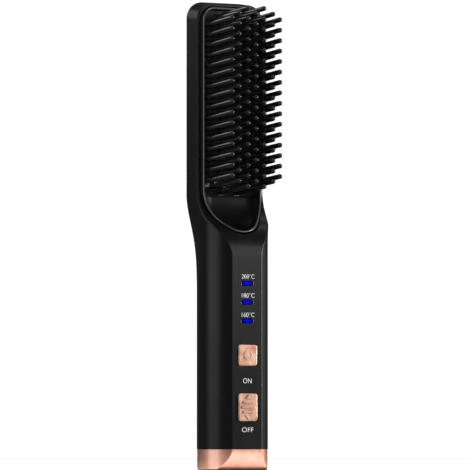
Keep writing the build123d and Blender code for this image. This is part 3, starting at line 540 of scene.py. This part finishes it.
# %% [markdown]
# ## The other metals
#
# The socket's shell and the cell's tabs are nickel, the heater's clamp is aluminium, and
# the screws and the cans of the switch and the fuse are plated steel. Each metal is one
# line in a table: its colour, its duller colour, the range of its roughness, the streaks'
# size across and along in mm, and their depth in mm. A second table says which parts it
# is on.

# %% Bare metals
METALS = {
    "satin aluminium": ((0.62, 0.62, 0.63), (0.5, 0.5, 0.51), (0.2, 0.34), 0.1, 14.0, 0.003),
    "bright nickel": ((0.66, 0.63, 0.57), (0.55, 0.52, 0.47), (0.15, 0.28), 0.12, 6.0, 0.002),
    "zinc-plated steel": ((0.56, 0.57, 0.6), (0.42, 0.43, 0.46), (0.25, 0.4), 0.15, 1.5, 0.004),
}
METAL_PARTS = {
    "satin aluminium": ["heater_clamp"],
    "bright nickel": ["charge_socket", "battery_tabs"],
    "zinc-plated steel": [
        "clamp_screws",
        "thermal_fuse",
        "slide_switch",
        "board_screws",
        "chassis_screws",
        "core_screws",
    ],
}
for name, facts in METALS.items():
    dress(drawn_metal(name, *facts), *METAL_PARTS[name])
print(len(METALS), "metals ready")

# %% [markdown]
# ## Inside the handle
#
# The rest sits inside the shells: boards, the cell and its frame, the heaters and their
# leads. Only glimpses of them can show through the gaps, but each still gets the finish
# of its own stuff. The table gives the colour, the worn colour, the range of the
# roughness, and the grain's size and depth in mm.

# %% Inner parts
INNER = {
    "green board": ((0.01, 0.09, 0.035), (0.03, 0.2, 0.08), (0.2, 0.3), 0.5, 0.01),
    "matte black switch": ((0.02, 0.02, 0.021), (0.07, 0.07, 0.07), (0.45, 0.6), 0.2, 0.006),
    "grey frame plastic": ((0.13, 0.13, 0.14), (0.24, 0.24, 0.25), (0.4, 0.55), 0.25, 0.008),
    "clear blue lamp": ((0.04, 0.07, 0.6), (0.2, 0.25, 0.9), (0.1, 0.2), 0.6, 0.002),
    "fired ceramic": ((0.62, 0.6, 0.54), (0.8, 0.78, 0.72), (0.55, 0.7), 0.35, 0.012),
    "pressed mica": ((0.36, 0.25, 0.13), (0.6, 0.45, 0.26), (0.35, 0.6), 1.2, 0.02),
    "blue shrink sleeve": ((0.01, 0.05, 0.2), (0.05, 0.12, 0.35), (0.25, 0.35), 2.0, 0.01),
    "silicone lead": ((0.16, 0.008, 0.008), (0.3, 0.04, 0.03), (0.45, 0.6), 0.3, 0.006),
    "grey foam": ((0.05, 0.05, 0.05), (0.1, 0.1, 0.1), (0.85, 0.95), 0.4, 0.08),
    "dark sensor resin": ((0.03, 0.03, 0.04), (0.08, 0.08, 0.1), (0.2, 0.35), 0.7, 0.01),
}
INNER_PARTS = {
    "green board": ["main_board", "charge_board"],
    "matte black switch": ["key_plunger", "key_switch", "slide_lever"],
    "grey frame plastic": ["chassis", "cap_core"],
    "clear blue lamp": ["blue_lights"],
    "fired ceramic": ["ceramic_heaters"],
    "pressed mica": ["mica_sheet"],
    "blue shrink sleeve": ["battery_cell"],
    "silicone lead": ["heater_leads", "charge_leads"],
    "grey foam": ["battery_pads"],
    "dark sensor resin": ["thermistor"],
}
for name, facts in INNER.items():
    dress(moulded_plastic(name, *facts), *INNER_PARTS[name])
plain = [n for n, part in nodes.items() if not part.material_slots[0].material.use_nodes]
print(len(INNER), "inner finishes; parts without nodes:", plain)

# %% [markdown]
# ## The bead round the comb
#
# A slim glossy bead runs round the comb on the tray's rim: up both sides, over the top
# and down round the scoop. On the real comb it is moulded with the tray, and it always
# shows one thin highlight because its section is round. A curve with a round bevel makes
# such a bead, and turning it into a mesh leaves nothing to work out later. Its line is
# first drawn flat, and then each point is moved forward to where the rim lies.

# %% The rim's shape
BOWL_CENTRE = 125.0 * MM
RAMP_LOW = 95.0 * MM
PANEL_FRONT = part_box("front_shell")[0].y


def rim_front(z):
    """How far forward the rim lies at a height: upright above, then two equal arcs."""
    if z >= BOWL_CENTRE:
        return 0.0
    rise, depth = BOWL_CENTRE - RAMP_LOW, -PANEL_FRONT
    turn = 2 * math.atan(depth / rise)
    radius = rise / (2 * math.sin(turn))
    middle = (RAMP_LOW + BOWL_CENTRE) / 2
    if z >= middle:
        fall = BOWL_CENTRE - z
        return -(radius - math.sqrt(radius**2 - fall**2))
    climb = z - RAMP_LOW
    return PANEL_FRONT + radius - math.sqrt(radius**2 - climb**2)


print("panel at y", round(PANEL_FRONT / MM, 2), "mm")

# %% The bead's line
BEAD_HALF_WIDTH = 14.3 * MM
BEAD_TOP = 206.3 * MM
BEAD_CORNER = 5.3 * MM
BEAD_FRONT = 0.05 * MM
BOWL_DEPTH = 18.9 * MM
BOWL_STEPS = 96
SIDE_STEPS = 24
CORNER_STEPS = 20


def arc_points(right, up, wide, high, start, end, count):
    """Pairs along an arc round a middle, in degrees from the first axis to the second."""
    turns = [math.radians(start + (end - start) * i / count) for i in range(count + 1)]
    return [(right + wide * math.cos(t), up + high * math.sin(t)) for t in turns]


def bead_path():
    """The rim's middle line, all the way round."""
    wide, corner = BEAD_HALF_WIDTH, BEAD_CORNER
    inner, high = wide - corner, BEAD_TOP - corner
    loop = arc_points(0.0, BOWL_CENTRE, wide, BOWL_DEPTH, 180, 360, BOWL_STEPS)
    side = [
        BOWL_CENTRE + (high - BOWL_CENTRE) * i / SIDE_STEPS for i in range(1, SIDE_STEPS)
    ]
    loop += [(wide, z) for z in side]
    loop += arc_points(inner, high, corner, corner, 0, 90, CORNER_STEPS)
    loop += arc_points(-inner, high, corner, corner, 90, 180, CORNER_STEPS)
    loop += [(-wide, z) for z in reversed(side)]
    return [Vector((x, rim_front(z) + BEAD_FRONT, z)) for x, z in loop]


rim_line = bead_path()
print("bead's line of", len(rim_line), "points")

# %% Round beads
BEAD_ROUNDNESS = 4


def round_bead(name, path, radius, material, closed=True):
    """A round bead along a path, as a mesh that rides on the housing."""
    curve = bpy.data.curves.new(name, "CURVE")
    curve.dimensions = "3D"
    curve.bevel_depth = radius
    curve.bevel_resolution = BEAD_ROUNDNESS
    line = curve.splines.new("POLY")
    line.points.add(len(path) - 1)
    for point, place in zip(line.points, path):
        point.co = (*place, 1.0)
    line.use_cyclic_u = closed
    curve.use_fill_caps = not closed
    holder = bpy.data.objects.new(name + "_line", curve)
    scene.collection.objects.link(holder)
    bpy.context.view_layer.update()
    graph = bpy.context.evaluated_depsgraph_get()
    mesh = bpy.data.meshes.new_from_object(holder.evaluated_get(graph))
    bpy.data.objects.remove(holder)
    for face in mesh.polygons:
        face.use_smooth = True
    mesh.materials.clear()
    mesh.materials.append(material)
    bead = bpy.data.objects.new(name, mesh)
    scene.collection.objects.link(bead)
    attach(bead, "housing")
    return bead


print("bead helper ready, with a roundness of", BEAD_ROUNDNESS)

# %% Rim bead
BEAD_RADIUS = 0.46 * MM

bead_black = moulded_plastic(
    "glossy black bead",
    colour=(0.02, 0.02, 0.021),
    worn_colour=(0.04, 0.04, 0.04),
    rough=(0.34, 0.4),
    grain_mm=0.2,
    depth_mm=0.002,
    coat=1.0,
    wear=0.2,
    mirror=1.0,
)
rim_bead = round_bead("rim_bead", rim_line, BEAD_RADIUS, bead_black)
faces = len(rim_bead.data.polygons)
print("bead of", faces, "faces,", faces // len(rim_line), "round its section")

# %% [markdown]
# ## The seam over the cap
#
# A thin black gasket lies in the seam between the handle and the plated cap. Without it
# a hair of daylight would show at both sides. It follows the handle's section: a round
# back and a flat front, a little inside the surface.

# %% Gasket
GASKET_RADIUS = 0.07 * MM
GASKET_INSET = 0.25 * MM
CAP_SEAM_GAP = 0.15 * MM
HANDLE_RADIUS = 15.9 * MM
BACK_STEPS = 120
FLAT_STEPS = 12
seam_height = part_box("end_cap")[1].z + CAP_SEAM_GAP / 2


def section_path(radius, flat, height):
    """A circle that is cut flat at the front, at one height."""
    edge = math.degrees(math.asin(-flat / radius))
    loop = arc_points(0.0, 0.0, radius, radius, -edge, 180 + edge, BACK_STEPS)
    width = loop[0][0]
    loop += [(-width + 2 * width * i / FLAT_STEPS, flat) for i in range(1, FLAT_STEPS)]
    return [Vector((x, y, height)) for x, y in loop]


gasket_path = section_path(HANDLE_RADIUS - GASKET_INSET, PANEL_FRONT + GASKET_INSET, seam_height)
cap_gasket = round_bead("cap_gasket", gasket_path, GASKET_RADIUS, bead_black)
print("gasket at", round(seam_height / MM, 2), "mm")

# %% [markdown]
# ## The seams at the sides
#
# The two shells meet along both sides of the handle with a gap of a tenth of a millimetre.
# On a real housing one shell has a thin lip inside the seam that keeps light and hair out.
# Without it a hair of daylight would show through the handle from one side to the other.
# Each lip here is a straight bead in the middle of the wall, which bends outwards a little
# where the handle widens to the comb.

# %% Seam lips
LIP_RADIUS = 0.045 * MM
LIP_INSET = 0.85 * MM
LIP_TOP = 117.8 * MM
LIP_STEPS = 60
SIDE_SEAM_GAP = 0.1 * MM
HEAD_HALF_WIDTH = 16.6 * MM
WIDEN_LOW = 100.0 * MM
WIDEN_HIGH = 123.5 * MM
lip_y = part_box("front_shell")[1].y + SIDE_SEAM_GAP / 2


def lip_path(side):
    """Up one side of the handle, eased outwards as the housing widens."""
    path = []
    for i in range(LIP_STEPS + 1):
        z = seam_height + (LIP_TOP - seam_height) * i / LIP_STEPS
        t = min(max((z - WIDEN_LOW) / (WIDEN_HIGH - WIDEN_LOW), 0.0), 1.0)
        wider = (HEAD_HALF_WIDTH - HANDLE_RADIUS) * t * t * (3 - 2 * t)
        path.append(Vector((side * (HANDLE_RADIUS + wider - LIP_INSET), lip_y, z)))
    return path


for name, side in (("seam_lip_left", -1), ("seam_lip_right", 1)):
    lip = round_bead(name, lip_path(side), LIP_RADIUS, bead_black, closed=False)
    print(name, "at y", round(lip_y / MM, 2), "mm")

# %% [markdown]
# ## The windows' edges
#
# Each lit window sits in a thin clear surround, which catches the studio on one side. A
# little of the windows' blue light is painted into its colour. It is the same kind of
# round bead, on a small rounded rectangle, and it stands only a hair above the panel.

# %% Window surrounds
WINDOW_COUNT = 3
WINDOW_HALF_WIDTH = 3.1 * MM
WINDOW_HALF_HEIGHT = 1.4 * MM
WINDOW_CORNER = 1.2 * MM
WINDOW_CORNER_STEPS = 12
SURROUND_RADIUS = 0.13 * MM


def clear_surround():
    """Clear plastic with a little of the windows' blue light painted into its colour."""
    material, tree, shader = start_material("clear surround with painted blue glow")
    drift = place_group(tree, mould_grain, Grain_mm=0.5, Drift_mm=2.0).outputs["Drift"]
    # Painted blue glow from the windows, drifting at random over the surround.
    tint = blend_colours(tree, drift, (0.006, 0.007, 0.03), (0.012, 0.014, 0.06))
    wire_surface(tree, shader, tint, spread(tree, drift, 0.15, 0.25))
    type_in(shader, Coat_Weight=0.6)
    return material


def window_path(middle):
    """A rounded rectangle on the panel round one window."""
    across, up = WINDOW_HALF_WIDTH - WINDOW_CORNER, WINDOW_HALF_HEIGHT - WINDOW_CORNER
    size = (WINDOW_CORNER, WINDOW_CORNER)
    loop = []
    for x, z, start in ((1, 1, 0), (-1, 1, 90), (-1, -1, 180), (1, -1, 270)):
        corner = (x * across, middle + z * up)
        loop += arc_points(*corner, *size, start, start + 90, WINDOW_CORNER_STEPS)
    return [Vector((x, PANEL_FRONT, z)) for x, z in loop]


surround = clear_surround()
for i in range(WINDOW_COUNT):
    path = window_path(LIGHT_LOW + i * LIGHT_PITCH)
    ring = round_bead(f"window_surround_{i + 1}", path, SURROUND_RADIUS, surround)
    print(ring.name, len(ring.data.polygons), "faces")

# %% [markdown]
# ## Printed lettering
#
# The panel carries three temperatures and the words for the switch, printed in pale grey.
# Ink lies on the plastic as a film of a few hundredths of a millimetre. Text in Blender
# is a curve, so each word is made as a curve with a little thickness, turned into a mesh,
# stood up against the panel and scaled so that its capitals have the measured height.

# %% Ink
INK_DEPTH = 0.02 * MM


def printed_ink():
    """Pale grey ink with a faint grain."""
    material, tree, shader = start_material("pale grey ink")
    grain = place_group(tree, mould_grain, Grain_mm=0.12, Drift_mm=2.0)
    height, drift = grain.outputs["Height"], grain.outputs["Drift"]
    toned = blend_colours(tree, height, (0.45, 0.45, 0.45), (0.7, 0.7, 0.69))
    wire_surface(tree, shader, toned, spread(tree, drift, 0.42, 0.55), height, depth_mm=0.004)
    return material


ink = printed_ink()
print("ink", INK_DEPTH / MM, "mm thick")

# %% Word maker
WORD_EXTRUDE = 0.5
STROKE_THINNING = -0.015
LETTER_ROUNDNESS = 6


def word_mesh(name, words):
    """Words as a mesh, in the text's own size and place."""
    curve = bpy.data.curves.new(name, "FONT")
    curve.body = words
    curve.extrude = WORD_EXTRUDE
    curve.offset = STROKE_THINNING
    curve.resolution_u = LETTER_ROUNDNESS
    text = bpy.data.objects.new(name + "_curve", curve)
    scene.collection.objects.link(text)
    bpy.context.view_layer.update()
    graph = bpy.context.evaluated_depsgraph_get()
    mesh = bpy.data.meshes.new_from_object(text.evaluated_get(graph))
    bpy.data.objects.remove(text)
    return mesh


def print_word(name, words, centre_x, centre_z, cap_height, width):
    """Prints words on the panel, with their middle and their height and width in mm."""
    mesh = word_mesh(name, words)
    low = [min(v.co[i] for v in mesh.vertices) for i in range(3)]
    high = [max(v.co[i] for v in mesh.vertices) for i in range(3)]
    for v in mesh.vertices:
        right, up, out = [(v.co[i] - low[i]) / (high[i] - low[i]) for i in range(3)]
        x = (centre_x + (right - 0.5) * width) * MM
        z = (centre_z + (up - 0.5) * cap_height) * MM
        v.co = Vector((x, PANEL_FRONT - out * INK_DEPTH, z))
    piece = bpy.data.objects.new(name, mesh)
    scene.collection.objects.link(piece)
    mesh.materials.append(ink)
    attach(piece, "housing")
    return piece


print("words are printed at y", round(PANEL_FRONT / MM, 2), "mm")

# %% [markdown]
# ## Where each word goes
#
# The table gives each word's text, its middle across and up the panel, its height and its
# width, all in mm. The temperatures stand just above their windows, and the words for the
# switch stand above and below the knob's travel.

# %% Words
WORDS = {
    "mark_200": ("200°C", 0.5, 86.1, 1.95, 6.35),
    "mark_180": ("180°C", 0.5, 77.7, 1.95, 6.35),
    "mark_160": ("160°C", 0.5, 69.1, 1.95, 6.35),
    "mark_on": ("ON", 0.1, 39.75, 2.15, 4.2),
    "mark_off": ("OFF", 0.3, 18.0, 2.05, 5.75),
}
for name, facts in WORDS.items():
    word = print_word(name, *facts)
    print(name, len(word.data.polygons), "faces")

# %% [markdown]
# ## The floor
#
# The comb stands on a plain pale floor. A studio photographer would lay cards round a
# plated foot to give it something to mirror. Here the floor paints such a reflection
# into what reflected rays see: a painted shadow under the foot, its pale colour in a band
# round it, and painted dark farther out. The Light Path node tells such a ray from the
# camera's own.

# %% The floor in reflections
# Where reflected rays see a painted shadow, round the foot and in front of it, in mm; beyond the
# pale band they see painted dark.
PAINTED_SHADOW_FOOT = (15.5 * MM, 18.0 * MM)
PAINTED_SHADOW_FRONT = (9.2 * MM, 11.0 * MM)
PALE_BAND_END = (22.0 * MM, 70.0 * MM)


def painted_reflection_colour(tree, place):
    """Painted reflection: a painted shadow under the foot, pale in a band round it, and painted
    dark beyond.
    """
    distance = length_of(tree, place)
    y = add_node(tree, "ShaderNodeSeparateXYZ", Vector=place).outputs["Y"]
    forward = maths(tree, "MULTIPLY", y, -1.0)
    beyond_foot = soft_step(tree, distance, *PAINTED_SHADOW_FOOT)
    beyond_front = soft_step(tree, forward, *PAINTED_SHADOW_FRONT)
    near = maths(tree, "MAXIMUM", beyond_foot, beyond_front)
    far = soft_step(tree, distance, *PALE_BAND_END)
    pale = maths(tree, "MULTIPLY", near, maths(tree, "SUBTRACT", 1.0, far))
    # The dark colour is painted shadow and painted dark; the pale one is the floor's own colour.
    return blend_colours(tree, pale, (0.05, 0.04, 0.035), (0.88, 0.88, 0.88))


print("pale band out to", round(PALE_BAND_END[1] / MM), "mm")

# %% Floor
FLOOR_HALF = 4.0
FLOOR_PATCHES = 6.0


def pale_floor():
    """A matt pale floor that shows a painted reflection to reflected rays only."""
    material, tree, shader = start_material("pale floor")
    place = object_place(tree)
    clouds = noise(tree, place, FLOOR_PATCHES, detail=3.0, rough=0.5)
    toned = blend_colours(tree, clouds, (0.86, 0.86, 0.86), (0.9, 0.9, 0.9))
    tree.links.new(toned, shader.inputs["Base Color"])
    type_in(shader, Roughness=0.9, Specular_IOR_Level=0.2)
    # Reflected rays see the painted reflection in place of the lit floor.
    mirrored = add_node(tree, "ShaderNodeLightPath").outputs["Is Glossy Ray"]
    painted_reflection = add_node(tree, "ShaderNodeBsdfDiffuse", Color=painted_reflection_colour(tree, place)).outputs[0]
    both = add_node(tree, "ShaderNodeMixShader", _0=mirrored, _1=shader.outputs[0], _2=painted_reflection)
    tree.links.new(both.outputs[0], tree.nodes["Material Output"].inputs["Surface"])
    return material


corners = [(x * FLOOR_HALF, y * FLOOR_HALF, 0.0) for x, y in ((-1, -1), (1, -1), (1, 1), (-1, 1))]
floor_mesh = bpy.data.meshes.new("floor")
floor_mesh.from_pydata(corners, [], [(0, 1, 2, 3)])
floor = bpy.data.objects.new("floor", floor_mesh)
scene.collection.objects.link(floor)
floor_mesh.materials.append(pale_floor())
print("floor", 2 * FLOOR_HALF, "m wide")

# %% [markdown]
# ## The lights
#
# All the lights are soft rectangles that face the middle of the object. A tall one on the
# left draws the long highlight down the round side of the handle. On the right a wide one
# opens up the panel, and a strong one at the side draws the line along the panel's edge.
# One overhead picks out the rim and the tips of the pins. A weak one behind on the right
# draws a thin line down the handle's far edge.
#
# The sides of the pins mirror to the camera what lies behind the comb, where the head
# would block any light. So the light high at the back casts no shadow, which no real lamp
# can do, and it draws the highlights along the pins. The table gives each light's turn
# from the camera to the right and its rise in degrees, its distance, width and height in
# metres, and its watts.


# %% Lights
def soft_light(name, turn, rise, distance, width, height, power):
    """A soft rectangle of light that faces the middle of the object."""
    data = bpy.data.lights.new(name, "AREA")
    data.shape = "RECTANGLE"
    data.size = width
    data.size_y = height
    data.energy = power
    light = bpy.data.objects.new(name, data)
    scene.collection.objects.link(light)
    heading = CAMERA_TURN - math.radians(turn)
    up = math.radians(rise)
    back = Vector(
        (-math.sin(heading) * math.cos(up), -math.cos(heading) * math.cos(up), math.sin(up))
    )
    light.location = aim + back * distance
    light.rotation_mode = "QUATERNION"
    light.rotation_quaternion = (-back).to_track_quat("-Z", "Y")
    return light


LIGHTS = {
    "tall_left": (-64.0, 6.0, 1.2, 0.9, 1.3, 6.2),
    "wide_right": (52.0, 14.0, 0.5, 0.3, 0.27, 0.52),
    "edge_right": (88.0, 1.0, 1.4, 0.6, 0.45, 18.0),
    "high_back": (-134.0, 22.0, 1.4, 0.5, 0.5, 1.0),
    "back_right": (125.0, 3.0, 1.4, 0.3, 0.6, 0.4),
    "overhead": (0.0, 85.0, 1.6, 1.6, 1.6, 12.0),
}
WITHOUT_SHADOW = ["high_back"]
for name, facts in LIGHTS.items():
    light = soft_light(name, *facts)
    light.data.use_shadow = name not in WITHOUT_SHADOW
print(len(LIGHTS), "lights,", len(WITHOUT_SHADOW), "of them without a shadow")

# %% [markdown]
# ## The air
#
# The air around is white to the camera and to matt surfaces, and nearly black to a
# reflected ray, which keeps the black plastic deep. The standard view of colours takes the
# place of Blender's film-like one, so that white stays white.

# %% Air
AIR_SEEN = 1.15
AIR_MIRRORED = 0.08

air = bpy.data.worlds.new("studio air")
air.use_nodes = True
scene.world = air
tree = air.node_tree
tree.nodes.clear()
mirrored = add_node(tree, "ShaderNodeLightPath").outputs["Is Glossy Ray"]
dim = add_node(tree, "ShaderNodeBackground", Color=[0.9, 0.92, 0.95, 1.0], Strength=AIR_MIRRORED)
white = add_node(tree, "ShaderNodeBackground", Color=[1.0, 1.0, 1.0, 1.0], Strength=AIR_SEEN)
both = add_node(
    tree, "ShaderNodeMixShader", _0=mirrored, _1=white.outputs[0], _2=dim.outputs[0]
).outputs[0]
add_node(tree, "ShaderNodeOutputWorld", Surface=both)
scene.view_settings.view_transform = "Standard"
print("air", AIR_SEEN, "seen and", AIR_MIRRORED, "mirrored")
